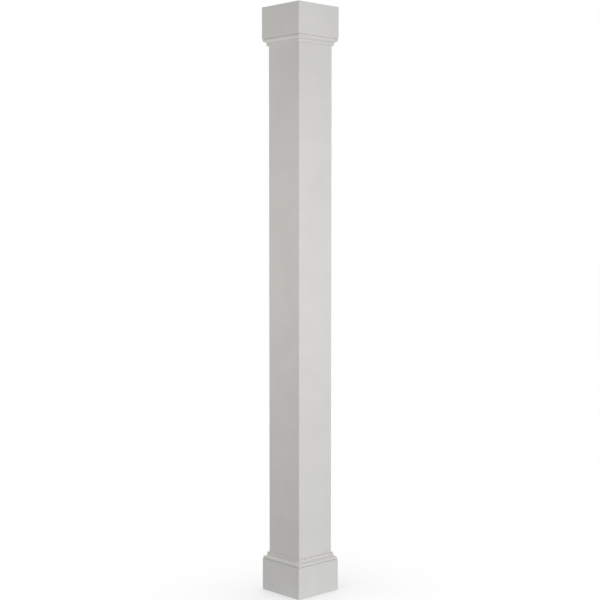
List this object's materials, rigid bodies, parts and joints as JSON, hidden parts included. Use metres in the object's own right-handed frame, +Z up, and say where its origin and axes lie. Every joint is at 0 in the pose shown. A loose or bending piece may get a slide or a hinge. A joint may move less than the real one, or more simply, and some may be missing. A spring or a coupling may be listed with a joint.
{
  "type": "square column",
  "caption": "Square porch column: a plain hollow square shaft with a block and a small moulding round its foot and its head, slipped over a post to dress it.",
  "frame": {"origin": "centre of the underside, at floor level", "axes": "+Z up the shaft, +X and +Y square to the shaft's faces"},
  "size_m": [0.2254, 0.2254, 2.4384],
  "materials": {
    "painted_pvc": "satin"
  },
  "bodies": {
    "root": {"shaft": "painted_pvc", "base_block": "painted_pvc", "base_moulding": "painted_pvc", "capital_block": "painted_pvc", "capital_moulding": "painted_pvc"}
  },
  "joints": []
}
